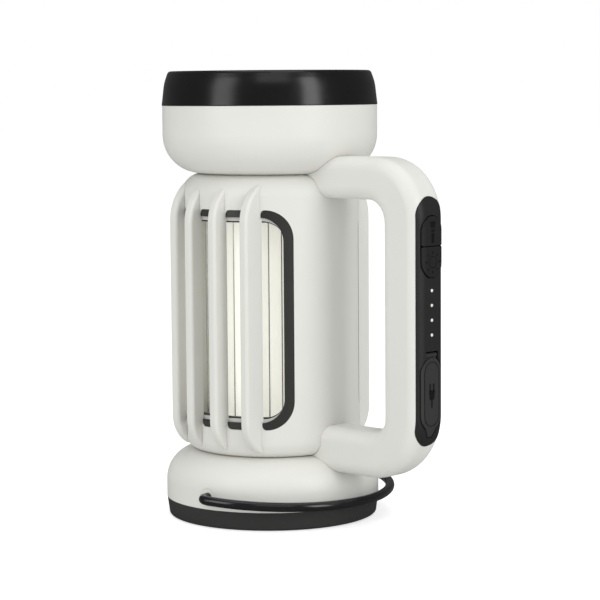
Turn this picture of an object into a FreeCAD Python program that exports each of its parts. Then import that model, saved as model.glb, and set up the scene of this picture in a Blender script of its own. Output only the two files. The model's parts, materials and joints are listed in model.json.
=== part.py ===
"""Rechargeable lantern bug zapper with a torch head, D handle and hanging bail.

Millimetres, +Z up.  The origin is the centre of the foot's rest face, the handle stands on
the +X side, and the two guarded windows face -Y (front) and +Y (back).  Each sub-part is
written to parts/NODE.step.
"""
import FreeCAD, Part
import math
import os

from FreeCAD import Vector

os.makedirs("parts", exist_ok=True)

# Fits and clearances
seam_gap = 0.1          # between fixed pieces that nest in one another
run_gap = 0.35          # between a moving piece and what it moves past
pivot_gap = 0.05        # radial clearance of the bail in its bushes
over = 1.0              # how far a cutter runs past the face it opens
tiny = 1e-6
curve_points = 9        # through which a curved edge is laid
nearly = 0.001          # short of a full half-round, so that a straight edge remains

# Heights of the stacked body pieces
foot_height = 7.0
base_height = 18.7
drum_height = 105.7
head_height = 25.6
bezel_height = 13.0

# Body radii, walls and corners
body_r = 41.0           # head and base
drum_r = 34.0
shell_wall = 2.4
base_corner = 12.1
drum_corner_low = 6.0
drum_corner_high = 8.0
drum_inner_low = 1.5
drum_inner_high = 3.5
head_corner = 14.5

# Foot
foot_taper = 1.0
foot_edge = 1.0
foot_wall = 2.4
foot_floor = 2.0
plate_thick = 2.5
skirt_wall = 2.1
skirt_lining = 2.0      # how far the thicker wall runs above the foot

# Windows, measured round the drum's girth
window_half = 34.6
bar_wall = 0.9          # of the guard bars' roots, in front of the window's pocket
pocket_margin = 0.6     # of the pocket round the window
window_low_margin = 11.0
window_high_margin = 12.7
window_corner = 12.5
window_stub = 3.0       # of each guard bar, moulded with the drum
bar_corner = 2.0
band_side = 4.2
band_end = 2.7
band_recess = 0.3
opening_corner = 9.0
trim_side = 0.3
trim_end = 1.4
trim_corner = 8.0
trim_wall = 0.7
trim_fit = 0.02
ring_wall = 1.3         # black ring behind the guard bars
ring_side = 0.7         # of it that shows inside the trim
ring_end = 0.6

# Guard fins
fin_places = (-18.5, -6.2, 6.2, 18.5)
fin_proud = 5.0
fin_thick = 4.0
fin_edge = 1.2
fin_corner_low = 13.0
fin_corner_high = 17.0
fin_low_rise = 0.9      # above the drum's lower end
fin_high_drop = 0.7     # below the drum's upper end

# Grid, lamp and tray
grid_wires = 15
wire_d = 0.5
grid_ring = 1.0
live_r = drum_r - 8.8
return_r = live_r - 2.4
insulator_wall = 1.3
insulator_thick = 3.0
insulator_play = 0.5
grid_rise = 2.0         # of the grid's top above the window
lamp_r = return_r - 3.8
lamp_wall = 1.4
hub_r = 8.0
hub_play = 0.5
spoke_half = 1.5
tray_wall = 1.2
tray_height = 6.0
tray_play = 0.8
tray_corner = 2.0
wire_way_r = 5.0
lamp_board_half = 6.0
lamp_board_thick = 1.6
lamp_leds = 6
lamp_led_half = 1.4
lamp_led_thick = 0.9
lamp_led_end = 8.0      # from the board's ends to the outer LEDs

# Torch head
bezel_r = body_r + 0.2
bezel_top_r = bezel_r - 2.6
bezel_shoulder_r = bezel_r - 1.0
bezel_shoulder_drop = 4.5
bezel_bore = bezel_r - 5.2
bezel_skirt = 7.0
lip_r = bezel_bore - 2.8
lip_thick = 1.2
seal_thick = 0.8
lens_thick = 2.0
reflector_depth = 14.0
reflector_wall = 1.2
reflector_floor_r = 9.0
torch_board_r = 11.0
torch_board_thick = 1.6
torch_led_half = 2.0
torch_led_thick = 0.9
torch_dome_r = 1.7
torch_dome_sink = 0.2
reflector_hole = 3.2
heat_sink_thick = 4.0
heat_groove_half = 0.8
heat_groove_floor = 1.6
heat_grooves = (-7.2, -3.6, 0, 3.6, 7.2)
lens_play = 0.6
seal_inset = 0.4
bezel_skirt_edge = 0.6
bezel_seam_edge = 0.3
bezel_side_curve = 18.0
bezel_top_edge = 1.5
lip_edge = 0.5
lens_edge = 0.3

# Handle
grip_gap = 28.4         # from the drum to the grip
grip_depth = 17.6
handle_width = 16.6
handle_edge = 5.0
handle_wall = 2.4
handle_rise = 6.8       # above the head's lower face
handle_dip = 5.7        # below the base's upper face
arm_high = 15.6
arm_low = 17.2
grip_corner_high = 22.0
grip_corner_low = 25.0
opening_corner_high = 8.5
opening_corner_low = 6.0

# Control panel on the grip's outer face
panel_half = 6.9
panel_low = 33.7
panel_high = 124.4
panel_skin = 1.4
panel_step = 1.0
panel_proud = 0.2
panel_fit = 0.02
pad_half = 5.4
pad_high = 117.4
pad_low = 95.3
pad_split = 106.6
button_proud = 0.7
button_travel = 0.8
button_depth = 3.6
button_flat = 0.5       # corner at the split
stem_r = 1.2
stem_length = 0.3
stem_root = 1.0
led_heights = (90.6, 85.2, 79.9, 74.5)
led_r = 0.6
led_back = 1.5          # how far each light pipe runs in behind the wall
led_proud = 0.1
port_z = 53.0
cover_half = 5.5
cover_high = 66.2
cover_low = 39.8
groove_inset = 1.3      # line that follows the cover's rim
groove_wide = 0.4
groove_deep = 0.35
cover_thick = 1.5
cover_rise = 0.3        # how far the cover's plug is rooted in it
recess_margin = 0.5
recess_depth = 1.8
socket_wall = 0.4
port_half_y = 4.1
port_half_z = 1.25
port_play = 0.25
plug_play = 0.3
plug_length = 0.8
tongue_half_y = 3.3
tongue_half_z = 0.35
tongue_inset = 1.0
socket_back = 1.2
hinge_r = 0.9
hinge_rise = 0.9
hinge_half = 3.0
tab_half = 0.9
tab_drop = 2.6
tab_flare = 0.6         # share of a growth that the tab takes
tab_shoulder = 0.8      # share of the cover's half width where the tab starts
tab_start = 0.55        # share of that half width above the cover's lower end
neck_half = 0.5
neck_drop = 1.2
hinge_way_low = 2.0
hinge_way_high = 1.5

# Hanging bail
bail_wire = 3.5
bail_clear = 2.75       # from the base to the wire
bail_bend = 3.0
bail_z = 11.6
bail_x = 5.4
bail_droop = 3.2        # degrees below level at rest
bush_wall = 1.4
bush_length = 4.6
bush_flange = 1.2
bail_end = 7.0          # from the base's side in to the wire's end

# Fasteners and electronics
screw_r = 1.3
screw_head_r = 2.5
screw_head_h = 1.8
screw_play = 0.2
screw_fit = 0.05
boss_wall = 1.9
boss_inset = 4.0
boss_rest = 2.0         # solid end above a base screw's hole
base_screw_reach = 9.0
head_boss_height = 6.0
head_screw_reach = 5.0
deck_thick = 3.2
post_r = 2.5
handle_screw_sink = 1.2
handle_screw_end = 2.0
handle_screw_rest = 0.6
arm_screw_x = 18.0      # out from the drum
grip_screw_inset = 2.6
board_thick = 1.6
cell_r = 7.15
cell_length = 50.0
cell_cap_r = 2.6
cell_cap_length = 1.5
cell_play = 0.3
cell_gap = 0.1
holder_wall = 1.2
charge_board_gap = 3.0
charge_board_half = 11.0
charge_board_height = 14.0
chip_half = 3.0
chip_low = 4.0
chip_high = 9.0
chip_thick = 1.2
coil_r = 3.0
coil_y = 7.0
coil_z = 8.0
coil_length = 3.0
hv_board_r = 30.0
capacitor_r = 3.5
capacitor_height = 8.0
capacitor_y = -20.0
capacitor_places = (-9, 0, 9)
core_half = 8.0
core_near = 14.0
core_far = 26.0
core_height = 9.0
core_limb = 2.5         # of the middle limb, half its width
core_window = 5.0       # outer edge of the core's windows
core_window_low = 2.5
core_window_high = 6.5
switch_half = 2.2
switch_height = 2.0
switch_slack = 0.3      # between a stem and its switch at the end of the travel
control_board_thick = 1.2
control_board_low = 6.0
control_board_high = 4.0
control_board_play = 0.6

# Levels that follow
base_top = foot_height + base_height
drum_top = base_top + drum_height
bezel_seam = drum_top + head_height
height = bezel_seam + bezel_height
window_low = base_top + window_low_margin
window_high = drum_top - window_high_margin
plate_top = foot_floor + plate_thick
drum_floor = base_top + shell_wall
grid_low = drum_floor + seam_gap + tray_height
grid_high = window_high + grid_rise
lens_z = height - lip_thick - seal_thick - lens_thick
grip_in = drum_r + grip_gap
grip_out = grip_in + grip_depth
handle_low = base_top - handle_dip
handle_high = drum_top + handle_rise
insulator_r = live_r + insulator_wall
neck_bore = insulator_r + insulator_play
pocket_r = drum_r - bar_wall
trim_r = pocket_r - seam_gap
ring_r = trim_r - trim_wall
bail_r = body_r + bail_clear + bail_wire / 2
pivot_y = math.sqrt(body_r ** 2 - bail_x ** 2)
hinge_x = grip_out - hinge_rise
hinge_z = cover_high + hinge_r
socket_mouth = grip_out - handle_wall - seam_gap
far = 4 * body_r


def outline(corners):
    """Flat closed wire through (u, v, radius) corners, each rounded by its own radius."""
    points = [Vector(u, v, 0) for u, v, radius in corners]
    spans = []
    for i, here in enumerate(points):
        radius = corners[i][2]
        back = (points[i - 1] - here).normalize()
        ahead = (points[(i + 1) % len(points)] - here).normalize()
        half = back.getAngle(ahead) / 2
        reach = radius / math.tan(half)
        inward = (back + ahead).normalize()
        middle = here + inward * (radius / math.sin(half) - radius)
        spans.append((here + back * reach, middle, here + ahead * reach))
    edges = []
    for i, (start, middle, stop) in enumerate(spans):
        if corners[i][2] > 0:
            edges.append(Part.Arc(start, middle, stop).toShape())
        following = spans[(i + 1) % len(spans)][0]
        if following.distanceToPoint(stop) > tiny:
            edges.append(Part.makeLine(stop, following))
    return Part.Wire(edges)


def lathe(corners):
    """Solid turned about Z from a closed (radius, height, corner radius) outline."""
    face = Part.Face(outline(corners))
    face.rotate(Vector(), Vector(1, 0, 0), 90)
    return face.revolve(Vector(), Vector(0, 0, 1), 360)


def prism_y(wire, low, high):
    """Flat wire stood up in the XZ plane and extruded along Y."""
    face = Part.Face(wire)
    face.rotate(Vector(), Vector(1, 0, 0), 90)
    face.translate(Vector(0, low, 0))
    return face.extrude(Vector(0, high - low, 0))


def prism_x(wire, low, high):
    """Flat wire stood up in the YZ plane and extruded along X."""
    face = Part.Face(wire)
    face.rotate(Vector(), Vector(1, 1, 1), 120)
    face.translate(Vector(low, 0, 0))
    return face.extrude(Vector(high - low, 0, 0))


def rod(radius, start, stop):
    """Cylinder from one point to another."""
    run = Vector(*stop) - Vector(*start)
    return Part.makeCylinder(radius, run.Length, Vector(*start), run)


def block(low, high):
    """Box between two corners."""
    size = Vector(*high) - Vector(*low)
    return Part.makeBox(size.x, size.y, size.z, Vector(*low))


def turned(shape, angle):
    """Copy of a shape turned about Z."""
    copy = shape.copy()
    copy.rotate(Vector(), Vector(0, 0, 1), angle)
    return copy


def ring_of(shape, angles):
    """Copies of a shape turned about Z to each angle."""
    return [turned(shape, angle) for angle in angles]


def largest(shape):
    """The biggest solid of a cut shape."""
    return max(shape.Solids, key=lambda solid: solid.Volume)


def rectangle(half, low, high, corner):
    """Corners of an upright rectangle about the middle line."""
    return [(-half, low, corner), (half, low, corner), (half, high, corner), (-half, high, corner)]


def stadium(half, low, high):
    """Upright stadium outline."""
    return outline(rectangle(half, low, high, half - nearly))


def write(name, shape):
    """One sub-part, as a group where it has several solids."""
    if isinstance(shape, list):
        shape = Part.makeCompound(shape)
    shape.exportStep("parts/" + name + ".step")
    print(name, len(shape.Solids), round(shape.Volume / 1000, 2), "cm3", shape.isValid())


# Outer forms of the body, each grown by a gap where another piece is fitted round it
def base_form(gap):
    """Solid form of the base above the foot."""
    radius = body_r + gap
    return lathe([(0, foot_height, 0), (radius, foot_height, 0),
                  (radius, base_top + gap, base_corner + gap), (0, base_top + gap, 0)])


def drum_form(gap):
    """Solid form of the drum."""
    radius = drum_r + gap
    return lathe([(0, base_top - gap, 0), (radius, base_top - gap, drum_corner_low),
                  (radius, drum_top + gap, drum_corner_high), (0, drum_top + gap, 0)])


def head_form(gap):
    """Solid form of the head below the bezel."""
    radius = body_r + gap
    return lathe([(0, drum_top - gap, 0), (radius, drum_top - gap, head_corner + gap),
                  (radius, bezel_seam, 0), (0, bezel_seam, 0)])


# Foot and base
def make_foot():
    inner = body_r - foot_wall
    boot = lathe([(0, 0, 0), (body_r - foot_taper, 0, foot_edge), (body_r, foot_height, 0),
                  (inner, foot_height, 0), (inner, foot_floor, 0), (0, foot_floor, 0)])
    write("foot_boot", boot)


boss_reach = body_r - shell_wall - screw_r - boss_wall - boss_inset
boss_angles = [45, 135, 225, 315]


def base_screw_holes(radius, low, high):
    return ring_of(rod(radius, (boss_reach, 0, low), (boss_reach, 0, high)), boss_angles)


def bush_form(gap):
    """Flanged sleeve form on the +Y side, without its bore."""
    outer = bail_wire / 2 + pivot_gap + bush_wall + gap
    root = pivot_y - bush_length
    sleeve = rod(outer, (bail_x, root, bail_z), (bail_x, body_r + gap, bail_z))
    flange = rod(outer + bush_flange,
                 (bail_x, root - bush_flange - gap, bail_z), (bail_x, root + gap, bail_z))
    return sleeve.fuse(flange)


def mirrored(shape):
    """Copy of a shape on the other side of the XZ plane."""
    return shape.mirror(Vector(), Vector(0, 1, 0))


def make_base():
    inner = body_r - shell_wall
    skirt = body_r - foot_wall - seam_gap
    skirt_in = skirt - skirt_wall
    slope = inner - skirt_in
    lining_top = foot_height + skirt_lining
    top = base_top - shell_wall
    corner = base_corner - shell_wall
    shell = lathe([(skirt, plate_top, 0), (skirt, foot_height, 0), (body_r, foot_height, 0),
                   (body_r, base_top, base_corner), (wire_way_r, base_top, 0), (wire_way_r, top, 0),
                   (inner, top, corner), (inner, lining_top + slope, 0),
                   (skirt_in, lining_top, 0), (skirt_in, plate_top, 0)])
    shell = shell.fuse(base_screw_holes(screw_r + boss_wall, plate_top, top))
    shell = shell.cut(base_screw_holes(screw_r, plate_top - over, top - boss_rest))
    bush = bush_form(seam_gap)
    shell = shell.cut([bush, mirrored(bush)])
    write("base_shell", largest(shell))

    bore = rod(bail_wire / 2 + pivot_gap, (bail_x, 0, bail_z), (bail_x, far, bail_z))
    bush = bush_form(0).common(base_form(0)).cut(bore)
    write("bail_bushes", [bush, mirrored(bush)])

    plate = lathe([(0, foot_floor, 0), (skirt, foot_floor, 0), (skirt, plate_top, 0), (0, plate_top, 0)])
    plate = plate.cut(base_screw_holes(screw_r + screw_play, 0, plate_top + over))
    plate = plate.cut(base_screw_holes(screw_head_r, 0, foot_floor + screw_head_h))
    write("base_plate", plate)

    head_top = foot_floor + screw_head_h - seam_gap
    heads = base_screw_holes(screw_head_r - screw_play, foot_floor + seam_gap, head_top)
    shanks = base_screw_holes(screw_r - screw_fit, head_top, plate_top + base_screw_reach)
    write("base_screws", [head.fuse(shank) for head, shank in zip(heads, shanks)])


def make_battery():
    half_x = 2 * cell_r + holder_wall + cell_play
    half_y = cell_length / 2 + holder_wall + cell_play
    floor = plate_top + holder_wall
    tray = block((-half_x, -half_y, plate_top), (half_x, half_y, floor + cell_r))
    tray = tray.cut(block((holder_wall - half_x, holder_wall - half_y, floor),
                          (half_x - holder_wall, half_y - holder_wall, floor + far)))
    write("battery_holder", tray)
    centre = floor + cell_r
    shoulder = cell_length / 2 - cell_cap_length
    cells = []
    for x in (-cell_r - cell_gap, cell_r + cell_gap):
        cell = rod(cell_r, (x, -cell_length / 2, centre), (x, shoulder, centre))
        cells.append(cell.fuse(rod(cell_cap_r, (x, shoulder, centre), (x, cell_length / 2, centre))))
    write("battery_cells", cells)
    back = half_x + charge_board_gap
    front = back + board_thick
    board = block((back, -charge_board_half, plate_top),
                  (front, charge_board_half, plate_top + charge_board_height))
    chip = block((front, -chip_half, plate_top + chip_low),
                 (front + chip_thick, chip_half, plate_top + chip_high))
    coil = rod(coil_r, (front, coil_y, plate_top + coil_z), (front + coil_length, coil_y, plate_top + coil_z))
    write("charge_board", board.fuse([chip, coil]))


# Drum, windows and guards
def around_drum(wire):
    """An outline whose width runs round the drum's girth, as it stands square on to a window."""
    edges = []
    for edge in wire.OrderedEdges:
        stretch = [Vector(drum_r * math.sin(p.x / drum_r), p.y, 0) for p in edge.discretize(curve_points)]
        if edge.Curve.TypeId == "Part::GeomLine":
            edges.append(Part.makeLine(stretch[0], stretch[-1]))
        else:
            curve = Part.BSplineCurve()
            curve.interpolate(stretch)
            edges.append(curve.toShape())
    return Part.Wire(edges)


def girth(x):
    """Distance round the drum from the middle of a window to a place x across it."""
    return drum_r * math.asin(x / drum_r)


def window_prism(side, end, corner):
    """The front window's outline drawn in at its sides and ends, as a cutter."""
    corners = rectangle(window_half - side, window_low + end, window_high - end, corner)
    return prism_y(around_drum(outline(corners)), -far, 0)


def slot_prisms(inset):
    """The window's five slots between the guard bars, each drawn in all round."""
    half_bar = fin_thick / 2
    lefts = [-window_half] + [girth(x + half_bar) for x in fin_places]
    rights = [girth(x - half_bar) for x in fin_places] + [window_half]
    low = window_low + inset
    high = window_high - inset
    last = len(fin_places)
    slots = []
    for i, (left, right) in enumerate(zip(lefts, rights)):
        left_corner = (window_corner if i == 0 else bar_corner) - inset
        right_corner = (window_corner if i == last else bar_corner) - inset
        corners = [(left + inset, low, left_corner), (right - inset, low, right_corner),
                   (right - inset, high, right_corner), (left + inset, high, left_corner)]
        width = right - left - 2 * inset
        slots.append(prism_y(around_drum(outline(shortened(corners, width))), -far, 0))
    return slots


def shortened(corners, width):
    """Corner radii limited so that two of them fit side by side in the width."""
    total = corners[0][2] + corners[1][2]
    share = min(1.0, (width - nearly) / total)
    return [(u, v, radius * share) for u, v, radius in corners]


def bar_blocks(ends):
    """Cutters for the guard bars' spaces in the front window, short of their stubs by a gap."""
    half = fin_thick / 2 + over / 2
    low = window_low + window_stub + ends
    high = window_high - window_stub - ends
    return [block((x - half, -far, low), (x + half, 0, high)) for x in fin_places]


def tube(inner, outer, low, high):
    """Upright tube."""
    return lathe([(inner, low, 0), (outer, low, 0), (outer, high, 0), (inner, high, 0)])


def fin_form(x):
    """One front guard fin: an upright plate square to the window, through the drum's wall."""
    outer = math.sqrt((drum_r + fin_proud) ** 2 - x ** 2)
    low = base_top + fin_low_rise
    high = drum_top - fin_high_drop
    wire = outline([(0, low, 0), (outer, low, fin_corner_low), (outer, high, fin_corner_high), (0, high, 0)])
    plate = prism_x(wire, x - fin_thick / 2, x + fin_thick / 2)
    rims = [edge for edge in plate.Edges if edge.BoundBox.XLength < tiny and edge.BoundBox.YMax > nearly]
    plate = mirrored(plate.makeFillet(fin_edge, rims))
    solid_drum = drum_form(seam_gap / 2).cut(bar_blocks(seam_gap))
    return largest(plate.cut([solid_drum, rod(pocket_r, (0, 0, 0), (0, 0, far))]))


def make_drum():
    inner = drum_r - shell_wall
    ceiling = drum_top - shell_wall
    shell = drum_form(0).cut(lathe([
        (0, drum_floor, 0), (inner, drum_floor, drum_inner_low), (inner, ceiling, drum_inner_high),
        (neck_bore, ceiling, 0), (neck_bore, drum_top + over, 0), (0, drum_top + over, 0)]))
    shell = shell.cut(rod(wire_way_r, (0, 0, 0), (0, 0, far)))
    pocket = window_prism(-pocket_margin, -pocket_margin, window_corner + pocket_margin)
    pocket = pocket.common(tube(drum_r / 2, pocket_r, base_top, drum_top))
    for angle in (0, 180):
        for opening in slot_prisms(0) + bar_blocks(0) + [pocket]:
            shell = shell.cut(turned(opening, angle))
    write("drum_shell", largest(shell))

    opening = window_prism(band_side, band_end, opening_corner)
    margin = pocket_margin - seam_gap
    seat = window_prism(-margin, -margin, window_corner + margin)
    ring = seat.common(tube(ring_r - ring_wall, ring_r, base_top, drum_top))
    ring = ring.cut(window_prism(band_side + trim_side + ring_side, band_end + trim_end + ring_end,
                                 trim_corner - ring_side))
    rim = seat.common(tube(ring_r, trim_r, base_top, drum_top)).cut(opening)
    pads = []
    for slot in slot_prisms(seam_gap):
        pads += slot.common(tube(trim_r, drum_r - band_recess, base_top, drum_top)).cut(opening).Solids
    frame = ring.fuse([rim] + pads)
    write("window_frame_front", largest(frame))
    write("window_frame_back", turned(largest(frame), 180))

    trim = window_prism(band_side + trim_fit, band_end + trim_fit, opening_corner - trim_fit)
    trim = trim.common(tube(ring_r, trim_r, base_top, drum_top))
    trim = largest(trim.cut(window_prism(band_side + trim_side, band_end + trim_end, trim_corner)))
    write("window_trim_front", trim)
    write("window_trim_back", turned(trim, 180))

    fins = [fin_form(x) for x in fin_places]
    write("guard_bars_front", fins)
    write("guard_bars_back", [turned(fin, 180) for fin in fins])


def make_grid():
    low = grid_low + insulator_thick
    turn = 360 / grid_wires
    for name, radius, level, start in (("grid_live", live_r, grid_high - 2 * grid_ring, 0),
                                       ("grid_return", return_r, low + grid_ring, turn / 2)):
        wire = rod(wire_d / 2, (radius, 0, low), (radius, 0, grid_high))
        wires = ring_of(wire, [start + turn * i for i in range(grid_wires)])
        ring = tube(radius - grid_ring / 2, radius + grid_ring / 2, level, level + grid_ring)
        write(name, ring.fuse(wires))

    rim_in = return_r - insulator_wall
    lower = tube(rim_in, insulator_r, grid_low, low)
    hub = tube(wire_way_r, lamp_r, grid_low, low)
    spoke = block((lamp_r - over, -spoke_half, grid_low), (rim_in + over, spoke_half, low))
    write("grid_insulator_bottom", lower.fuse([hub] + ring_of(spoke, [45, 135, 225, 315])))
    upper = tube(wire_way_r, insulator_r, grid_high, grid_high + insulator_thick)
    write("grid_insulator_top", upper)

    write("lamp_diffuser", tube(lamp_r - lamp_wall, lamp_r, low, grid_high))
    face = lamp_board_thick / 2
    board = block((-lamp_board_half, -face, low), (lamp_board_half, face, grid_high))
    leds = []
    for i in range(lamp_leds):
        z = low + lamp_led_end + i * (grid_high - low - 2 * lamp_led_end) / (lamp_leds - 1)
        led = block((-lamp_led_half, face, z - lamp_led_half),
                    (lamp_led_half, face + lamp_led_thick, z + lamp_led_half))
        leds += [led, mirrored(led)]
    write("uv_led_board", board.fuse(leds))

    outer = drum_r - shell_wall - tray_play
    bore = wire_way_r + hub_play
    floor = drum_floor + seam_gap
    top = floor + tray_height
    well = floor + tray_wall
    tray = lathe([(bore, floor, 0), (outer, floor, tray_corner), (outer, top, 0), (outer - tray_wall, top, 0),
                  (outer - tray_wall, well, tray_corner / 2), (hub_r, well, 0),
                  (hub_r, top, 0), (bore, top, 0)])
    write("catch_tray", tray)


# Head and torch
head_boss_reach = 20.0
head_boss_angles = [60, 180, 300]


def head_rods(radius, low, high):
    return ring_of(rod(radius, (head_boss_reach, 0, low), (head_boss_reach, 0, high)), head_boss_angles)


def make_head():
    inner = body_r - shell_wall
    floor = drum_top + shell_wall
    boss_top = floor + head_boss_height
    shell = head_form(0).cut(lathe([
        (0, floor, 0), (inner, floor, head_corner - shell_wall), (inner, bezel_seam + over, 0),
        (0, bezel_seam + over, 0)]))
    shell = shell.cut(rod(wire_way_r, (0, 0, 0), (0, 0, far)))
    shell = shell.fuse(head_rods(screw_r + boss_wall, floor, boss_top))
    shell = shell.cut(head_rods(screw_r, drum_top - over, boss_top + over))
    write("head_shell", largest(shell))

    deck_low = drum_top - deck_thick
    deck = tube(wire_way_r, neck_bore - seam_gap, deck_low, drum_top)
    post = rod(post_r, (head_boss_reach, 0, grid_high + insulator_thick), (head_boss_reach, 0, deck_low))
    deck = deck.fuse(ring_of(post, [0, 120, 240]))
    deck = deck.cut(head_rods(screw_r + screw_play, deck_low - over, drum_top + over))
    write("upper_deck", deck)
    heads = head_rods(screw_head_r, deck_low - screw_head_h, deck_low)
    shanks = head_rods(screw_r - screw_fit, deck_low, floor + head_screw_reach)
    write("head_screws", [head.fuse(shank) for head, shank in zip(heads, shanks)])

    level = boss_top + board_thick
    board = tube(wire_way_r, hv_board_r, boss_top, level)
    capacitors = [rod(capacitor_r, (x, capacitor_y, level), (x, capacitor_y, level + capacitor_height))
                  for x in capacitor_places]
    write("hv_board", board.fuse(capacitors))
    core = block((-core_half, core_near, level), (core_half, core_far, level + core_height))
    for side in (-1, 1):
        near, away = sorted((side * core_limb, side * core_window))
        core = core.cut(block((near, core_near - over, level + core_window_low),
                              (away, core_far + over, level + core_window_high)))
    write("hv_transformer", core)


def lines(points):
    """Straight edges through points."""
    return [Part.makeLine(start, stop) for start, stop in zip(points, points[1:])]


def reflector_curve(rim_z):
    """Parabolic edge from the reflector's floor up to its rim."""
    depth = reflector_depth - reflector_wall
    spread = lip_r ** 2 - reflector_floor_r ** 2
    points = []
    for i in range(curve_points):
        radius = reflector_floor_r + (lip_r - reflector_floor_r) * i / (curve_points - 1)
        rise = depth * (radius ** 2 - reflector_floor_r ** 2) / spread
        points.append(Vector(radius, 0, rim_z - depth + rise))
    curve = Part.BSplineCurve()
    curve.interpolate(points)
    return curve.toShape()


def make_torch():
    shoulder_z = height - bezel_shoulder_drop
    skirt = body_r - shell_wall - seam_gap
    low = bezel_seam - bezel_skirt
    bezel = lathe([(bezel_bore, low, 0), (skirt, low, bezel_skirt_edge), (skirt, bezel_seam, 0),
                   (bezel_r, bezel_seam, bezel_seam_edge), (bezel_shoulder_r, shoulder_z, bezel_side_curve),
                   (bezel_top_r, height, bezel_top_edge), (lip_r, height, lip_edge),
                   (lip_r, height - lip_thick, 0), (bezel_bore, height - lip_thick, 0)])
    write("bezel_ring", bezel)
    lens_r = bezel_bore - lens_play
    lens_top = lens_z + lens_thick
    write("torch_lens", lathe([(0, lens_z, 0), (lens_r, lens_z, lens_edge),
                               (lens_r, lens_top, lens_edge), (0, lens_top, 0)]))
    write("lens_seal", tube(lip_r + seal_inset, lens_r, lens_top, lens_top + seal_thick))

    floor = lens_z - reflector_depth
    back_z = lens_z - reflector_wall
    rim = [Vector(lip_r, 0, lens_z), Vector(lens_r, 0, lens_z),
           Vector(lens_r, 0, back_z), Vector(lip_r, 0, back_z)]
    mouth = [Vector(reflector_floor_r, 0, floor), Vector(reflector_hole, 0, floor),
             Vector(reflector_hole, 0, floor + reflector_wall),
             Vector(reflector_floor_r, 0, floor + reflector_wall)]
    edges = [reflector_curve(lens_z), reflector_curve(back_z)] + lines(rim) + lines(mouth)
    face = Part.Face(Part.Wire(Part.__sortEdges__(edges)))
    write("torch_reflector", face.revolve(Vector(), Vector(0, 0, 1), 360))

    board_low = floor - torch_board_thick
    write("torch_board", rod(torch_board_r, (0, 0, board_low), (0, 0, floor)))
    half = torch_led_half
    chip_top = floor + torch_led_thick
    led = block((-half, -half, floor), (half, half, chip_top))
    dome = Part.makeSphere(torch_dome_r, Vector(0, 0, chip_top - torch_dome_sink))
    dome = dome.cut(block((-far, -far, floor - far), (far, far, chip_top)))
    write("torch_led", led.fuse(dome))
    sink_low = board_low - heat_sink_thick
    sink = rod(torch_board_r, (0, 0, sink_low), (0, 0, board_low))
    grooves = [block((x - heat_groove_half, -far, sink_low - over),
                     (x + heat_groove_half, far, board_low - heat_groove_floor)) for x in heat_grooves]
    write("torch_heat_sink", sink.cut(grooves))


# Handle
def handle_form(inset):
    """The handle's outer form, drawn in by an inset all over."""
    root = drum_r / 2
    high = handle_high - inset
    low = handle_low + inset
    outer = grip_out - inset
    inner = grip_in + inset
    under = handle_high - arm_high + inset
    over = handle_low + arm_low - inset
    corners = [(root, high, 0), (outer, high, grip_corner_high - inset),
               (outer, low, grip_corner_low - inset),
               (root, low, 0), (root, over, 0), (inner, over, opening_corner_low + inset),
               (inner, under, opening_corner_high + inset), (root, under, 0)]
    half = handle_width / 2 - inset
    form = prism_y(outline(corners), -half, half)
    rims = [edge for edge in form.Edges
            if edge.BoundBox.YLength < tiny and edge.BoundBox.XMax > root + over]
    return form.makeFillet(handle_edge - inset, rims)


def skin(outside, inside):
    """Layer of the handle between two insets."""
    return handle_form(outside).cut(handle_form(inside))


def grip_stadium(half, low, high):
    """Stadium prism through the grip's outer wall."""
    return prism_x(stadium(half, low, high), grip_in + grip_depth / 2, far)


screw_places = [(drum_r + arm_screw_x, handle_high - arm_high / 2),
                (drum_r + arm_screw_x, handle_low + arm_low / 2),
                (grip_in + handle_wall + grip_screw_inset, (base_top + drum_top) / 2)]


def cross_rods(radius, low, high):
    return [rod(radius, (x, low, z), (x, high, z)) for x, z in screw_places]


def make_handle():
    outer = handle_form(0)
    shell = outer.cut(handle_form(handle_wall))
    bosses = [boss.common(outer) for boss in cross_rods(screw_r + boss_wall, -far, far)]
    shell = shell.fuse(bosses)
    shell = shell.cut([head_form(seam_gap), drum_form(seam_gap), base_form(seam_gap)])
    half = handle_width / 2
    seat = half - screw_head_h - handle_screw_sink
    shell = shell.cut(cross_rods(screw_r, handle_screw_end - half, half))
    shell = shell.cut(cross_rods(screw_head_r, seat, far))
    ledge = grip_stadium(panel_half + seam_gap, panel_low - seam_gap, panel_high + seam_gap)
    shell = shell.cut(ledge.common(skin(-over, panel_skin)))
    step = panel_step - seam_gap
    shell = shell.cut(grip_stadium(panel_half - step, panel_low + step, panel_high - step))
    front = shell.common(block((0, -far, 0), (far, 0, far)))
    back = shell.common(block((0, 0, 0), (far, far, far)))
    write("handle_shell_front", largest(front))
    write("handle_shell_back", largest(back))

    heads = cross_rods(screw_head_r - screw_play, seat, seat + screw_head_h)
    shanks = cross_rods(screw_r - screw_fit, handle_screw_end + handle_screw_rest - half, seat)
    write("handle_screws", [head.fuse(shank) for head, shank in zip(heads, shanks)])


def half_pad(half, low, high, round_top):
    """Outline of one button: half of the pad, round at its outer end."""
    corner = half - nearly
    low_corner = button_flat if round_top else corner
    high_corner = corner if round_top else button_flat
    return outline([(-half, low, low_corner), (half, low, low_corner),
                    (half, high, high_corner), (-half, high, high_corner)])


def cover_outline(grow):
    """Port cover's stadium with its pull tab at the lower end."""
    half = cover_half + grow
    low = cover_low - grow
    high = cover_high + grow
    tab = tab_half + grow * tab_flare
    tip = cover_low - tab_drop - grow * tab_flare
    shoulder = half * tab_shoulder
    start = low + half * tab_start
    pad = prism_x(stadium(half, low, high), grip_in, far)
    wedge = outline([(-shoulder, start, 0), (shoulder, start, 0), (tab, tip, tab / 2), (-tab, tip, tab / 2)])
    return pad.fuse(prism_x(wedge, grip_in, far))


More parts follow.
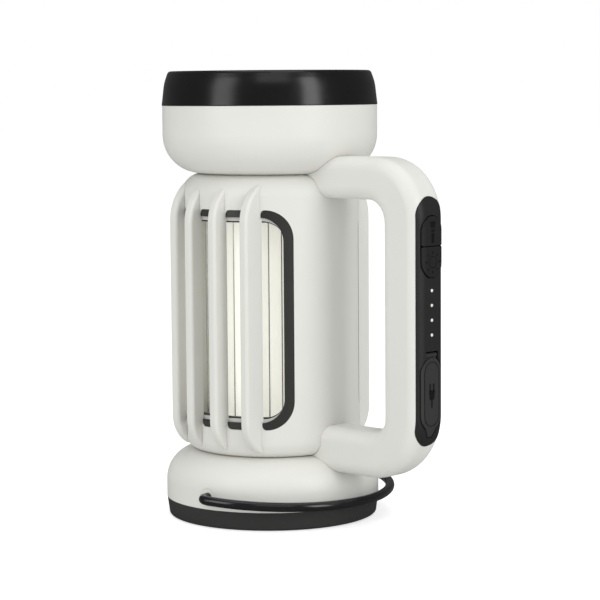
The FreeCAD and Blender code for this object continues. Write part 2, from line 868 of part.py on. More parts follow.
def cover_groove():
    """Fine line that follows the port cover's rim."""
    half = cover_half - groove_inset
    low = cover_low + groove_inset
    high = cover_high - groove_inset
    step = groove_wide
    ring = grip_stadium(half, low, high).cut(grip_stadium(half - step, low + step, high - step))
    return ring.common(skin(-over, groove_deep - panel_proud))


def hinge_barrel(grow):
    """The cover's hinge knuckle."""
    half = hinge_half + grow
    return rod(hinge_r + grow, (hinge_x, -half, hinge_z), (hinge_x, half, hinge_z))


def socket_form(grow, low, high):
    """Rounded slot shape of the charging socket."""
    half_z = port_half_z + grow
    return prism_x(outline(rectangle(port_half_y + grow, port_z - half_z, port_z + half_z, half_z - nearly)),
                   low, high)


def make_panel():
    step = panel_step
    front = grip_stadium(panel_half, panel_low, panel_high).common(skin(-panel_proud, panel_skin - panel_fit))
    plug = grip_stadium(panel_half - step, panel_low + step, panel_high - step)
    plug = plug.common(skin(panel_skin - seam_gap, handle_wall))
    panel = front.fuse(plug)
    pad_hole = grip_stadium(pad_half + run_gap, pad_low - run_gap, pad_high + run_gap)
    led_holes = [rod(led_r + seam_gap, (grip_in, 0, z), (far, 0, z)) for z in led_heights]
    recess = cover_outline(recess_margin).common(skin(-over, recess_depth))
    port = socket_form(port_play, grip_in, grip_out)
    seat = socket_form(socket_wall + seam_gap, grip_in, socket_mouth + seam_gap)
    barrel = hinge_barrel(run_gap)
    mouth = block((hinge_x, -hinge_half - run_gap, hinge_z - hinge_way_low),
                  (far, hinge_half + run_gap, hinge_z + hinge_way_high))
    panel = panel.cut([pad_hole, recess, port, seat, barrel, mouth] + led_holes)
    write("control_panel", largest(panel))

    lenses = []
    for z in led_heights:
        start = grip_out - handle_wall - led_back
        lenses.append(rod(led_r, (start, 0, z), (grip_out + panel_proud + led_proud, 0, z)))
    write("indicator_lenses", lenses)

    split = run_gap / 2
    for name, low, high, top in (("torch_button", pad_split + split, pad_high, True),
                                 ("lamp_button", pad_low, pad_split - split, False)):
        back = grip_out - button_depth
        cap = prism_x(half_pad(pad_half, low, high, top), back, far).common(handle_form(-button_proud))
        middle = (low + high) / 2
        stem = rod(stem_r, (back - stem_length, 0, middle), (back + stem_root, 0, middle))
        write(name, cap.fuse(stem))


def make_cover():
    pad = cover_outline(0).common(skin(-panel_proud, cover_thick))
    pad = pad.cut(block((grip_in, -far, hinge_z), (far, far, far)))
    back = grip_out - cover_thick
    plug = socket_form(-plug_play, back - plug_length - cover_rise, back + cover_rise)
    cover = pad.fuse([hinge_barrel(0), plug]).cut(cover_groove())
    neck = block((hinge_x - neck_half, -hinge_half, cover_high - neck_drop),
                 (hinge_x + neck_half, hinge_half, hinge_z))
    write("port_cover", largest(cover.fuse(neck)))


def make_control_board():
    face = grip_out - button_depth - stem_length - button_travel - switch_slack
    front = face - switch_height
    half = handle_width / 2 - handle_wall - control_board_play
    board = block((front - control_board_thick, -half, panel_low + control_board_low),
                  (front, half, panel_high - control_board_high))
    write("control_board", board)
    switches = []
    for z in ((pad_split + pad_high) / 2, (pad_split + pad_low) / 2):
        switches.append(block((front, -switch_half, z - switch_half), (face, switch_half, z + switch_half)))
    write("tact_switches", switches)
    back = front + socket_back
    socket = socket_form(socket_wall, front, socket_mouth).cut(socket_form(0, back, socket_mouth + over))
    tongue = block((back - over / 5, -tongue_half_y, port_z - tongue_half_z),
                   (socket_mouth - tongue_inset, tongue_half_y, port_z + tongue_half_z))
    write("usb_socket", socket.fuse(tongue))


# Bail
def make_bail():
    """Round wire arc about the base, its two ends bent in to the pivots."""
    centre = Vector(bail_x + bail_bend, 0, bail_z)
    centre.y = math.sqrt((bail_r - bail_bend) ** 2 - centre.x ** 2)
    end_y = pivot_y - bail_end
    outward = Vector(centre.x, centre.y, 0).normalize()
    meet = Vector(outward.x * bail_r, outward.y * bail_r, bail_z)
    toward = (outward + Vector(-1, 0, 0)).normalize()
    middle = centre + toward * bail_bend
    start = Vector(bail_x, end_y, bail_z)
    turn = Vector(bail_x, centre.y, bail_z)

    def other(point):
        return Vector(point.x, -point.y, point.z)

    path = Part.Wire([Part.makeLine(start, turn), Part.Arc(turn, middle, meet).toShape(),
                      Part.Arc(meet, Vector(bail_r, 0, bail_z), other(meet)).toShape(),
                      Part.Arc(other(meet), other(middle), other(turn)).toShape(),
                      Part.makeLine(other(turn), other(start))])
    section = Part.Wire(Part.makeCircle(bail_wire / 2, start, Vector(0, 1, 0)))
    wire = path.makePipeShell([section], True, True)
    wire.rotate(Vector(bail_x, 0, bail_z), Vector(0, 1, 0), bail_droop)
    write("bail", wire)


make_foot()
make_base()
make_battery()
make_drum()
make_grid()
make_head()
make_torch()
make_handle()
make_panel()
make_cover()
make_control_board()
make_bail()
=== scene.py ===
"""Looks of the rechargeable lantern bug zapper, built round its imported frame."""
import json
import math

import bmesh
import bpy
from mathutils import Matrix, Vector


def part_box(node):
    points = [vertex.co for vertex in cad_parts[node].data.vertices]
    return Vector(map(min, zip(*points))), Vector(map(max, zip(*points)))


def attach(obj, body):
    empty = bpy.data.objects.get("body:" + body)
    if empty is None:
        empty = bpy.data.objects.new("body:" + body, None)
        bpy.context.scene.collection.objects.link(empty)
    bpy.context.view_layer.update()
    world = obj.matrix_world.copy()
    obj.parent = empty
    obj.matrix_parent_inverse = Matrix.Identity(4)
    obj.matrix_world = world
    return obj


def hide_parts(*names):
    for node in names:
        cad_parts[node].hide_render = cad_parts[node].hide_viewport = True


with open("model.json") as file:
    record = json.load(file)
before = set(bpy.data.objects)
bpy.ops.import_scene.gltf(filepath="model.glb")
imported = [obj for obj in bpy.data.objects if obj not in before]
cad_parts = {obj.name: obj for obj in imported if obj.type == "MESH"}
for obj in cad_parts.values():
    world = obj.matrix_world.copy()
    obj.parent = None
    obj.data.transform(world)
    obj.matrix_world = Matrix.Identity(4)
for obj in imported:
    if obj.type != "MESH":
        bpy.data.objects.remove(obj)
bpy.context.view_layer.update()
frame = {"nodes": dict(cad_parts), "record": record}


nodes = frame["nodes"]
scene = bpy.context.scene
MM = 0.001


def deselect():
    """Clears the selection, so that an operator acts on one piece."""
    for thing in bpy.context.selected_objects:
        thing.select_set(False)


# Camera: eye level near the bezel, turned from the windows towards the handle
LENS = 127.0
SENSOR = 36.0
DISTANCE = 0.812
EYE_HEIGHT = 0.1635
TURN = math.radians(44.0)
YAW = math.radians(0.78)
PITCH = math.radians(5.73)
ROLL = math.radians(0.42)


def place_camera():
    """Long lens a little above the middle, turned and tipped by a few degrees."""
    data = bpy.data.cameras.new("camera")
    data.lens = LENS
    data.sensor_width = SENSOR
    data.clip_start = 0.01
    camera = bpy.data.objects.new("camera", data)
    scene.collection.objects.link(camera)
    spot = Vector((math.sin(TURN), -math.cos(TURN), 0)) * DISTANCE + Vector((0, 0, EYE_HEIGHT))
    upright = Matrix.Rotation(TURN - YAW, 4, "Z") @ Matrix.Rotation(math.radians(90) - PITCH, 4, "X")
    camera.matrix_world = Matrix.Translation(spot) @ upright @ Matrix.Rotation(-ROLL, 4, "Z")
    scene.camera = camera


place_camera()


# Stage: pale floor, bright plain surroundings and soft lights
AROUND = 0.64           # light that the surroundings give
MIRRORED = 0.12         # their tone in a reflection
BACKDROP = 1.0          # their tone behind the object
FLOOR_WIDE = 12.0
FLOOR_DROP = 0.2 * MM   # keeps the floor just clear of the foot
FLOOR_LIFT = 0.55       # brings the floor up to the backdrop's tone
MIDDLE = Vector((0.0, 0.0, 0.09))


def make_stage():
    """Floor, surroundings and the four soft lights."""
    deselect()
    bpy.ops.mesh.primitive_plane_add(size=FLOOR_WIDE, location=(0, 0, -FLOOR_DROP))
    floor = bpy.context.object
    floor.name = "floor"
    floor.data.materials.append(pale_floor())
    world = bpy.data.worlds.new("studio")
    world.use_nodes = True
    tree = Tree(world.node_tree)
    background = world.node_tree.nodes["Background"]
    background.inputs["Color"].default_value = (1.0, 1.0, 1.0, 1.0)
    ray = tree.node("ShaderNodeLightPath")
    behind = tree.spread(ray.outputs["Is Camera Ray"], 0.0, 1.0, AROUND, BACKDROP)
    less = tree.spread(ray.outputs["Is Glossy Ray"], 0.0, 1.0, 0.0, AROUND - MIRRORED)
    tree.link(tree.sum("SUBTRACT", behind, less), background.inputs["Strength"])
    scene.world = world
    soft_light("left_panel", -51.0, 1.05, 0.42, (0.42, 0.80), 2.8)
    soft_light("right_panel", 45.0, 1.05, 0.40, (0.34, 0.80), 3.6)
    soft_light("front_panel", 4.0, 1.25, 1.05, (0.9, 0.5), 1.6)
    soft_light("top_panel", 0.0, 0.05, 1.25, (1.1, 1.1), 3.9)


def soft_light(name, side, reach, height, size, power):
    """Rectangular light aimed at the object; its side is the angle from the camera's direction."""
    data = bpy.data.lights.new(name, "AREA")
    data.shape = "RECTANGLE"
    data.size, data.size_y = size
    data.energy = power
    light = bpy.data.objects.new(name, data)
    scene.collection.objects.link(light)
    turn = TURN + math.radians(side)
    spot = Vector((math.sin(turn) * reach, -math.cos(turn) * reach, height))
    aim = (MIDDLE - spot).to_track_quat("-Z", "Y").to_matrix().to_4x4()
    light.matrix_world = Matrix.Translation(spot) @ aim


# Materials
NOISE_LOW = 0.3         # where most of a noise's values lie
NOISE_HIGH = 0.7
RUBBED = 0.05           # how much smoother a rubbing mark is
DUST_COLOUR = (0.45, 0.43, 0.4)
STREAK_SHADE = 0.86
FLOW_SHADE = 0.96
PLASTIC_IOR = 1.49


class Tree:
    """Short way to build one material's or one group's nodes."""

    def __init__(self, tree):
        self.tree = tree

    def node(self, kind, **values):
        made = self.tree.nodes.new(kind)
        for key, value in values.items():
            setattr(made, key, value)
        return made

    def link(self, source, target):
        self.tree.links.new(source, target)

    def noise(self, vector, scale, detail=2.0, roughness=0.5):
        made = self.node("ShaderNodeTexNoise")
        made.inputs["Scale"].default_value = scale
        made.inputs["Detail"].default_value = detail
        made.inputs["Roughness"].default_value = roughness
        self.link(vector, made.inputs["Vector"])
        return made.outputs["Fac"]

    def spread(self, value, low, high, out_low, out_high):
        """Maps one range to another."""
        made = self.node("ShaderNodeMapRange")
        numbers = {"From Min": low, "From Max": high, "To Min": out_low, "To Max": out_high}
        for name, number in numbers.items():
            made.inputs[name].default_value = number
        self.link(value, made.inputs["Value"])
        return made.outputs["Result"]

    def mix(self, factor, first, second):
        """Mix of two colours by a factor socket; each colour is a socket or a plain tuple."""
        made = self.node("ShaderNodeMix", data_type="RGBA")
        self.link(factor, made.inputs["Factor"])
        for place, colour in ((6, first), (7, second)):
            if isinstance(colour, tuple):
                made.inputs[place].default_value = (*colour, 1.0)
            else:
                self.link(colour, made.inputs[place])
        return made.outputs[2]

    def sum(self, operation, first, second):
        made = self.node("ShaderNodeMath", operation=operation)
        for place, value in ((0, first), (1, second)):
            if isinstance(value, (int, float)):
                made.inputs[place].default_value = value
            else:
                self.link(value, made.inputs[place])
        return made.outputs[0]


def new_group(name, inputs, outputs):
    """Empty node group with (socket name, kind, default) inputs and (socket name, kind) outputs."""
    tree = bpy.data.node_groups.new(name, "ShaderNodeTree")
    for label, kind, default in inputs:
        socket = tree.interface.new_socket(label, in_out="INPUT", socket_type=kind)
        if default is not None:
            socket.default_value = default
    for label, kind in outputs:
        tree.interface.new_socket(label, in_out="OUTPUT", socket_type=kind)
    made = Tree(tree)
    return made, made.node("NodeGroupInput"), made.node("NodeGroupOutput")


def moulded_group():
    """Moulded surface: fine spark-eroded grain, slow waviness and faint tone drift."""
    group, start, end = new_group(
        "moulded_surface",
        [("Position", "NodeSocketVector", None), ("Colour", "NodeSocketColor", (0.8, 0.8, 0.8, 1)),
         ("Drift", "NodeSocketFloat", 0.03), ("Grain Scale", "NodeSocketFloat", 2600.0),
         ("Gloss Low", "NodeSocketFloat", 0.35), ("Gloss High", "NodeSocketFloat", 0.45)],
        [("Colour", "NodeSocketColor"), ("Roughness", "NodeSocketFloat"), ("Height", "NodeSocketFloat")])
    position = start.outputs["Position"]
    grain = group.node("ShaderNodeTexNoise")
    grain.inputs["Detail"].default_value = 3.0
    group.link(position, grain.inputs["Vector"])
    group.link(start.outputs["Grain Scale"], grain.inputs["Scale"])
    slow = group.noise(position, 38.0, 2.0)
    patches = group.noise(position, 140.0, 4.0, 0.6)
    darker = group.node("ShaderNodeHueSaturation")
    group.link(start.outputs["Colour"], darker.inputs["Color"])
    share = group.sum("MULTIPLY", group.sum("SUBTRACT", slow, 0.5), start.outputs["Drift"])
    group.link(group.sum("ADD", share, 1.0), darker.inputs["Value"])
    group.link(darker.outputs["Color"], end.inputs["Colour"])
    gloss = group.node("ShaderNodeMapRange")
    gloss.inputs["From Min"].default_value = NOISE_LOW
    gloss.inputs["From Max"].default_value = NOISE_HIGH
    group.link(patches, gloss.inputs["Value"])
    group.link(start.outputs["Gloss Low"], gloss.inputs["To Min"])
    group.link(start.outputs["Gloss High"], gloss.inputs["To Max"])
    group.link(gloss.outputs["Result"], end.inputs["Roughness"])
    height = group.sum("ADD", grain.outputs["Fac"], group.sum("MULTIPLY", slow, 0.6))
    group.link(height, end.inputs["Height"])
    return group.tree


def dust_group():
    """Faint dust that settles on faces that look up, and fine rubbing marks."""
    group, start, end = new_group(
        "settled_dust",
        [("Position", "NodeSocketVector", None), ("Normal", "NodeSocketVector", None),
         ("Amount", "NodeSocketFloat", 0.1)],
        [("Mask", "NodeSocketFloat"), ("Marks", "NodeSocketFloat")])
    apart = group.node("ShaderNodeSeparateXYZ")
    group.link(start.outputs["Normal"], apart.inputs["Vector"])
    up = group.spread(apart.outputs["Z"], 0.55, 1.0, 0.0, 1.0)
    flecks = group.spread(group.noise(start.outputs["Position"], 900.0, 4.0, 0.7), 0.48, 0.72, 0.0, 1.0)
    mask = group.sum("MULTIPLY", group.sum("MULTIPLY", up, flecks), start.outputs["Amount"])
    group.link(mask, end.inputs["Mask"])
    stretch = group.node("ShaderNodeMapping")
    stretch.inputs["Scale"].default_value = (1.0, 1.0, 0.06)
    stretch.inputs["Rotation"].default_value = (0.5, 0.3, 0.0)
    group.link(start.outputs["Position"], stretch.inputs["Vector"])
    marks = group.spread(group.noise(stretch.outputs["Vector"], 2200.0, 2.0), 0.66, 0.78, 0.0, 1.0)
    group.link(marks, end.inputs["Marks"])
    return group.tree


MOULDED = moulded_group()
DUST = dust_group()


def new_material(name):
    """Material with one shader, and the place on the object as its pattern's position."""
    material = bpy.data.materials.new(name)
    material.use_nodes = True
    material.node_tree.nodes.clear()
    tree = Tree(material.node_tree)
    shader = tree.node("ShaderNodeBsdfPrincipled")
    output = tree.node("ShaderNodeOutputMaterial")
    tree.link(shader.outputs["BSDF"], output.inputs["Surface"])
    position = tree.node("ShaderNodeTexCoord").outputs["Object"]
    return material, tree, shader, position


def bumped(tree, shader, height, distance):
    """Feeds a height through a bump node to the shader."""
    bump = tree.node("ShaderNodeBump")
    bump.inputs["Distance"].default_value = distance
    bump.inputs["Strength"].default_value = 1.0
    tree.link(height, bump.inputs["Height"])
    tree.link(bump.outputs["Normal"], shader.inputs["Normal"])


def moulded(name, colour, gloss, grain_scale=2600.0, grain_depth=4e-6, drift=0.03, dust=0.08,
            specular=0.5):
    """Moulded plastic or rubber with its own colour, gloss range and grain."""
    material, tree, shader, position = new_material(name)
    surface = tree.node("ShaderNodeGroup", node_tree=MOULDED)
    surface.inputs["Colour"].default_value = (*colour, 1.0)
    surface.inputs["Drift"].default_value = drift
    surface.inputs["Grain Scale"].default_value = grain_scale
    surface.inputs["Gloss Low"].default_value = gloss[0]
    surface.inputs["Gloss High"].default_value = gloss[1]
    tree.link(position, surface.inputs["Position"])
    settled = tree.node("ShaderNodeGroup", node_tree=DUST)
    settled.inputs["Amount"].default_value = dust
    tree.link(position, settled.inputs["Position"])
    tree.link(tree.node("ShaderNodeNewGeometry").outputs["Normal"], settled.inputs["Normal"])
    tree.link(tree.mix(settled.outputs["Mask"], surface.outputs["Colour"], DUST_COLOUR),
              shader.inputs["Base Color"])
    rubbed = tree.sum("MULTIPLY", settled.outputs["Marks"], RUBBED)
    tree.link(tree.sum("SUBTRACT", surface.outputs["Roughness"], rubbed), shader.inputs["Roughness"])
    shader.inputs["Specular IOR Level"].default_value = specular
    bumped(tree, shader, surface.outputs["Height"], grain_depth)
    return material


def metal(name, colour, gloss, streak=(1.0, 1.0, 30.0), scale=400.0, depth=1e-6):
    """Metal with fine drawn or brushed streaks."""
    material, tree, shader, position = new_material(name)
    stretch = tree.node("ShaderNodeMapping")
    stretch.inputs["Scale"].default_value = streak
    tree.link(position, stretch.inputs["Vector"])
    streaks = tree.noise(stretch.outputs["Vector"], scale, 3.0)
    shade = tuple(STREAK_SHADE * v for v in colour)
    tree.link(tree.mix(streaks, shade, colour), shader.inputs["Base Color"])
    tree.link(tree.spread(streaks, NOISE_LOW, NOISE_HIGH, *gloss), shader.inputs["Roughness"])
    shader.inputs["Metallic"].default_value = 1.0
    bumped(tree, shader, streaks, depth)
    return material


def clear_plastic(name, colour, gloss, depth=2e-6):
    """Clear plastic with faint flow lines."""
    material, tree, shader, position = new_material(name)
    flow = tree.noise(position, 220.0, 2.0)
    shade = tuple(FLOW_SHADE * v for v in colour)
    tree.link(tree.mix(flow, shade, colour), shader.inputs["Base Color"])
    tree.link(tree.spread(flow, NOISE_LOW, NOISE_HIGH, *gloss), shader.inputs["Roughness"])
    shader.inputs["Transmission Weight"].default_value = 1.0
    shader.inputs["IOR"].default_value = PLASTIC_IOR
    bumped(tree, shader, flow, depth)
    return material


def circuit(name, mask_colour, trace_colour):
    """Circuit board: solder mask with copper runs showing through."""
    material, tree, shader, position = new_material(name)
    cells = tree.node("ShaderNodeTexBrick", offset=0.35, squash=1.0)
    cells.inputs["Scale"].default_value = 260.0
    cells.inputs["Mortar Size"].default_value = 0.025
    cells.inputs["Color1"].default_value = (0, 0, 0, 1)
    cells.inputs["Color2"].default_value = (0, 0, 0, 1)
    cells.inputs["Mortar"].default_value = (1, 1, 1, 1)
    tree.link(position, cells.inputs["Vector"])
    tree.link(tree.mix(cells.outputs["Color"], mask_colour, trace_colour), shader.inputs["Base Color"])
    gloss = tree.spread(tree.noise(position, 300.0), NOISE_LOW, NOISE_HIGH, 0.28, 0.4)
    tree.link(gloss, shader.inputs["Roughness"])
    bumped(tree, shader, cells.outputs["Color"], 1.5e-5)
    return material


def pale_floor():
    """Plain floor, darker where a glossy surface mirrors it."""
    material, tree, shader, position = new_material("pale_floor")
    drift = tree.noise(position, 3.0, 2.0)
    ray = tree.node("ShaderNodeLightPath")
    pale = tree.mix(drift, (0.78, 0.78, 0.78), (0.80, 0.80, 0.80))
    tree.link(tree.mix(ray.outputs["Is Glossy Ray"], pale, (0.16, 0.16, 0.16)), shader.inputs["Base Color"])
    shader.inputs["Emission Color"].default_value = (1.0, 1.0, 1.0, 1.0)
    lift = tree.spread(ray.outputs["Is Camera Ray"], 0.0, 1.0, 0.0, FLOOR_LIFT)
    tree.link(lift, shader.inputs["Emission Strength"])
    shader.inputs["Roughness"].default_value = 0.9
    shader.inputs["Specular IOR Level"].default_value = 0.0
    return material


SHELL_WHITE = moulded("shell_white", (0.73, 0.73, 0.69), (0.40, 0.48), grain_depth=2.5e-6)
INNER_WHITE = moulded("inner_white", (0.78, 0.775, 0.70), (0.5, 0.6))
BLACK_GLOSS = moulded("bezel_black", (0.007, 0.007, 0.007), (0.20, 0.26), grain_depth=1e-6,
                      dust=0.02, drift=0.1, specular=0.42)
FRAME_BLACK = moulded("frame_black", (0.030, 0.030, 0.027), (0.34, 0.42), dust=0.03, drift=0.1)
PANEL_BLACK = moulded("panel_black", (0.014, 0.014, 0.0135), (0.48, 0.56), grain_scale=1800.0,
                      grain_depth=8e-6, dust=0.03, drift=0.1)
KEY_RUBBER = moulded("key_rubber", (0.010, 0.010, 0.010), (0.55, 0.66), grain_scale=2200.0, dust=0.04)
FOOT_RUBBER = moulded("foot_rubber", (0.035, 0.035, 0.034), (0.52, 0.64), grain_scale=1500.0,
                      grain_depth=1e-5, dust=0.05)
COVER_RUBBER = moulded("cover_rubber", (0.030, 0.030, 0.030), (0.5, 0.6), grain_scale=2000.0, dust=0.04)
HOLDER_BLACK = moulded("holder_black", (0.04, 0.04, 0.042), (0.5, 0.6))
SILVER = moulded("silver_trim", (0.56, 0.56, 0.54), (0.30, 0.38), grain_depth=1e-6, dust=0.0)
GRID_STEEL = metal("grid_steel", (0.80, 0.80, 0.77), (0.22, 0.32), streak=(1, 1, 0.05))
ZINC = metal("zinc_plate", (0.62, 0.64, 0.66), (0.3, 0.42))
HEAT_ALLOY = metal("heat_alloy", (0.70, 0.71, 0.72), (0.38, 0.5))
MIRROR_COAT = metal("mirror_coat", (0.90, 0.90, 0.91), (0.03, 0.07), streak=(1, 1, 1), scale=60.0)
BAIL_BLACK = moulded("bail_black", (0.010, 0.010, 0.011), (0.12, 0.20), grain_scale=900.0,
                     grain_depth=1.5e-6, dust=0.02)
# Frosted lamp tube with a painted glow: its emission stands in for light passing through it, not for the
# lamp
FROSTED_PAINTED_GLOW = moulded("frosted_tube_painted_glow", (0.86, 0.86, 0.80), (0.5, 0.6), grain_depth=2e-6)
PAINTED_GLOW = FROSTED_PAINTED_GLOW.node_tree.nodes["Principled BSDF"].inputs        # painted glow: the lamp is off, and a weak emission stands in for outside light passing through the translucent tube
PAINTED_GLOW["Emission Color"].default_value = (0.93, 0.92, 0.82, 1.0)
PAINTED_GLOW["Emission Strength"].default_value = 0.46
LENS_CLEAR = clear_plastic("lens_clear", (0.97, 0.98, 0.98), (0.02, 0.05))
BOARD_GREEN = circuit("board_green", (0.015, 0.10, 0.045), (0.03, 0.19, 0.08))
BOARD_WHITE = circuit("board_white", (0.74, 0.74, 0.75), (0.60, 0.60, 0.60))
CELL_BLUE = moulded("cell_sleeve", (0.02, 0.07, 0.28), (0.2, 0.3), grain_depth=2e-6)
FERRITE = moulded("ferrite", (0.05, 0.045, 0.045), (0.5, 0.7), grain_scale=1200.0, grain_depth=2e-5)
LED_YELLOW = moulded("led_phosphor", (0.85, 0.62, 0.06), (0.15, 0.25))
LED_WHITE = moulded("led_white", (0.80, 0.80, 0.78), (0.3, 0.4), dust=0.0)
MARK_BLACK = moulded("mark_black", (0.004, 0.004, 0.004), (0.34, 0.42), grain_depth=1e-6, dust=0.0,
                     specular=0.35)

FINISHES = {
    SHELL_WHITE: ["head_shell", "drum_shell", "base_shell", "guard_bars_front", "guard_bars_back",
                  "handle_shell_front", "handle_shell_back"],
    INNER_WHITE: ["bail_bushes", "grid_insulator_bottom", "grid_insulator_top", "catch_tray", "upper_deck"],
    BLACK_GLOSS: ["bezel_ring"],
    FRAME_BLACK: ["window_frame_front", "window_frame_back"],
    PANEL_BLACK: ["control_panel", "tact_switches"],
    KEY_RUBBER: ["torch_button", "lamp_button"],
    FOOT_RUBBER: ["foot_boot", "lens_seal"],
    COVER_RUBBER: ["port_cover"],
    HOLDER_BLACK: ["battery_holder", "base_plate"],
    SILVER: ["window_trim_front", "window_trim_back"],
    GRID_STEEL: ["grid_live", "grid_return"],
    ZINC: ["base_screws", "head_screws", "handle_screws", "usb_socket"],
    HEAT_ALLOY: ["torch_heat_sink"],
    MIRROR_COAT: ["torch_reflector"],
    BAIL_BLACK: ["bail"],
    FROSTED_PAINTED_GLOW: ["lamp_diffuser"],
    LENS_CLEAR: ["torch_lens"],
    BOARD_GREEN: ["charge_board", "hv_board", "control_board"],
    BOARD_WHITE: ["uv_led_board", "torch_board"],
    CELL_BLUE: ["battery_cells"],
    FERRITE: ["hv_transformer"],
    LED_YELLOW: ["torch_led"],
    LED_WHITE: ["indicator_lenses"],
}
for finish, members in FINISHES.items():
    for member in members:
        mesh = nodes[member].data
        mesh.materials.clear()
        mesh.materials.append(finish)


# Pieces made here: raised marks, indicator domes and screw heads
MARK_SUNK = 0.25 * MM
MARK_PROUD = 0.10 * MM
MARK_EDGE = 0.05 * MM
LAMP_RING_R = 2.2 * MM
LAMP_RING_WIDE = 0.55 * MM
LAMP_RAY_R = 3.5 * MM
LAMP_DOT_R = 0.42 * MM
LAMP_RAYS = 8
PRONG_APART = 1.0 * MM  # from the plug's middle
DOME_STEPS = ((0.25, 0.12), (0.3, 0.07))        # shares of the radius: in, then out
INDICATORS = 4
SMOOTH_BELOW = math.radians(35)
FACING = 0.9            # a normal nearer than this to an axis looks along it
SIDEWAYS = (0, math.radians(90), 0)

SCREW_HEAD_R = 2.3 * MM
SCREW_HEAD_DEEP = 1.6 * MM
SCREW_SHANK_R = 1.25 * MM
SCREW_EDGE = 0.12 * MM
CROSS_LONG = 2.9 * MM
CROSS_WIDE = 0.62 * MM
CROSS_DEEP = 1.0 * MM
OUTER_END = 0.05 * MM   # how near its outer end a point counts as on it
INTO_HANDLE = (math.radians(-90), 0, 0)


def begin(name):
    """New empty piece at the origin, open for modelling."""
    deselect()
    piece = bpy.data.objects.new(name, bpy.data.meshes.new(name))
    scene.collection.objects.link(piece)
    bpy.context.view_layer.objects.active = piece
    piece.select_set(True)
    bpy.ops.object.mode_set(mode="EDIT")
    return piece


def pick_faces(piece, test):
    """Selects the faces whose middle and normal pass a test, among those just added."""
    form = bmesh.from_edit_mesh(piece.data)
    fresh = {face.index for face in form.faces if face.select}
    bpy.ops.mesh.select_all(action="DESELECT")
    bpy.ops.mesh.select_mode(type="FACE")
    form = bmesh.from_edit_mesh(piece.data)
    form.faces.ensure_lookup_table()
    for index in fresh:
        face = form.faces[index]
        if test(face.calc_center_median(), face.normal):
            face.select_set(True)
    bmesh.update_edit_mesh(piece.data)


def complete(piece, body, finish, edge):
    """Closes a piece: rounded edges, smooth shading, finish and body."""
    bpy.ops.mesh.select_all(action="SELECT")
    bpy.ops.mesh.normals_make_consistent(inside=False)
    bpy.ops.object.mode_set(mode="OBJECT")
    rounding = piece.modifiers.new("rounding", "BEVEL")
    rounding.width = edge
    rounding.segments = 2
    rounding.limit_method = "ANGLE"
    bpy.ops.object.modifier_apply(modifier=rounding.name)
    bpy.ops.object.shade_smooth_by_angle(angle=SMOOTH_BELOW)
    piece.data.materials.append(finish)
    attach(piece, body)


def outer_face(node):
    """Where a node's outer face lies along X."""
    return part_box(node)[1][0]


def mount_height(name):
    """Height of one of the record's mounts."""
    for mount in frame["record"]["mounts"]:
        if mount["name"] == name:
            return mount["pos_m"][2]
    raise KeyError(name)


def middle_height(node):
    """Height of a node's middle."""
    low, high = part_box(node)
    return (low[2] + high[2]) / 2


def raised_bar(piece, face, z, wide, high, y=0.0, narrow=1.0):
    """Small raised bar on a face that looks along +X; narrow tapers its lower edge."""
    thick = MARK_SUNK + MARK_PROUD
    bpy.ops.mesh.primitive_cube_add(size=1.0, location=(face + MARK_PROUD - thick / 2, y, z),
                                    scale=(thick, wide, high))
    if narrow != 1.0:
        pick_faces(piece, lambda middle, normal: normal.z < -FACING)
        bpy.ops.transform.resize(value=(1.0, narrow, 1.0))


def raised_disc(face, y, z, radius, sides):
    """Small raised disc on a face that looks along +X."""
    thick = MARK_SUNK + MARK_PROUD
    bpy.ops.mesh.primitive_cylinder_add(vertices=sides, radius=radius, depth=thick, rotation=SIDEWAYS,
                                        location=(face + MARK_PROUD - thick / 2, y, z))


def make_torch_mark():
    """Torch: flared head, ring and body."""
    piece = begin("torch_mark")
    face = outer_face("torch_button")
    z = middle_height("torch_button")
    raised_bar(piece, face, z + 2.3 * MM, 3.0 * MM, 2.2 * MM, narrow=0.62)
    raised_bar(piece, face, z + 0.1 * MM, 1.8 * MM, 0.9 * MM)
    raised_bar(piece, face, z - 2.6 * MM, 1.5 * MM, 3.6 * MM)
    complete(piece, "torch_button", MARK_BLACK, MARK_EDGE)


def make_lamp_mark():
    """Shining lamp: a ring with dots for its rays."""
    piece = begin("lamp_mark")
    face = outer_face("lamp_button")
    z = middle_height("lamp_button")
    raised_disc(face, 0.0, z, LAMP_RING_R, 32)
    pick_faces(piece, lambda middle, normal: normal.x > FACING)
    bpy.ops.mesh.inset(thickness=LAMP_RING_WIDE)
    bpy.ops.transform.translate(value=(-MARK_SUNK * 0.8, 0, 0))
    for i in range(LAMP_RAYS):
        turn = 2 * math.pi * i / LAMP_RAYS
        y = LAMP_RAY_R * math.sin(turn)
        raised_disc(face, y, z + LAMP_RAY_R * math.cos(turn), LAMP_DOT_R, 12)
    complete(piece, "lamp_button", MARK_BLACK, 0.04 * MM)


def make_plug_mark():
    """Generic charging plug: body, two prongs and its lead."""
    piece = begin("plug_mark")
    face = outer_face("port_cover")
    z = mount_height("charge_port")
    raised_bar(piece, face, z - 0.3 * MM, 3.4 * MM, 3.6 * MM, narrow=0.72)
    for side in (-1, 1):
        raised_bar(piece, face, z + 2.6 * MM, 0.7 * MM, 2.4 * MM, y=side * PRONG_APART)
    raised_bar(piece, face, z - 3.5 * MM, 0.7 * MM, 3.0 * MM)
    complete(piece, "port_cover", MARK_BLACK, MARK_EDGE)


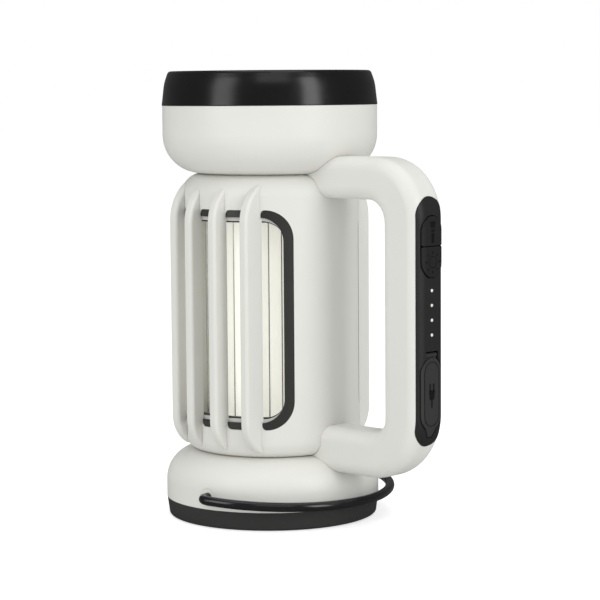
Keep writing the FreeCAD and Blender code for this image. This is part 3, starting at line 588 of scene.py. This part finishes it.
def make_domes():
    """Four indicator lights with domed ends."""
    piece = begin("indicator_domes")
    low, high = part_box("indicator_lenses")
    radius = (high[1] - low[1]) / 2
    long = high[0] - low[0]
    for i in range(INDICATORS):
        z = low[2] + radius + (high[2] - low[2] - 2 * radius) * i / (INDICATORS - 1)
        bpy.ops.mesh.primitive_cylinder_add(vertices=24, radius=radius, depth=long, rotation=SIDEWAYS,
                                            location=(low[0] + long / 2, 0, z))
        pick_faces(piece, lambda middle, normal: normal.x > FACING)
        for inset, rise in DOME_STEPS:
            bpy.ops.mesh.inset(thickness=radius * inset)
            bpy.ops.transform.translate(value=(radius * rise, 0, 0))
    complete(piece, "housing", LED_WHITE, 0.03 * MM)
    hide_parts("indicator_lenses")


def screw_places(node):
    """Where each screw of a node comes to its outer end, read from the node's own shape."""
    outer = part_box(node)[1][1]
    places = []
    for vertex in nodes[node].data.vertices:
        point = vertex.co
        if outer - point.y > OUTER_END:
            continue
        for members in places:
            if (members[0] - point).length < 3 * SCREW_HEAD_R:
                members.append(point.copy())
                break
        else:
            places.append([point.copy()])
    centres = []
    for members in places:
        xs = [point.x for point in members]
        zs = [point.z for point in members]
        centres.append(((min(xs) + max(xs)) / 2, (min(zs) + max(zs)) / 2))
    return centres


def make_handle_screws():
    """Cross-recessed screws that hold the handle's halves."""
    low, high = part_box("handle_screws")
    outer = high[1]
    places = screw_places("handle_screws")
    piece = begin("handle_screw_set")
    for x, z in places:
        bpy.ops.mesh.primitive_cylinder_add(
            vertices=36, radius=SCREW_HEAD_R, depth=SCREW_HEAD_DEEP, rotation=INTO_HANDLE,
            location=(x, outer - SCREW_HEAD_DEEP / 2, z))
        pick_faces(piece, lambda middle, normal: normal.y < -FACING)
        bpy.ops.mesh.inset(thickness=SCREW_HEAD_R - SCREW_SHANK_R)
        bpy.ops.mesh.extrude_region_move(
            TRANSFORM_OT_translate={"value": (0, low[1] - outer + SCREW_HEAD_DEEP, 0)})
    complete(piece, "housing", ZINC, SCREW_EDGE)
    cutter = begin("cross_cutter")
    for x, z in places:
        for wide, tall in ((CROSS_LONG, CROSS_WIDE), (CROSS_WIDE, CROSS_LONG)):
            bpy.ops.mesh.primitive_cube_add(size=1.0, location=(x, outer, z),
                                            scale=(wide, 2 * CROSS_DEEP, tall))
    bpy.ops.object.mode_set(mode="OBJECT")
    deselect()
    bpy.context.view_layer.objects.active = piece
    piece.select_set(True)
    cross = piece.modifiers.new("cross", "BOOLEAN")
    cross.object = cutter
    cross.solver = "EXACT"
    cross.use_self = True
    bpy.ops.object.modifier_apply(modifier=cross.name)
    bpy.data.objects.remove(cutter)
    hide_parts("handle_screws")


make_torch_mark()
make_lamp_mark()
make_plug_mark()
make_domes()
make_handle_screws()
make_stage()
scene.view_settings.view_transform = "Standard"
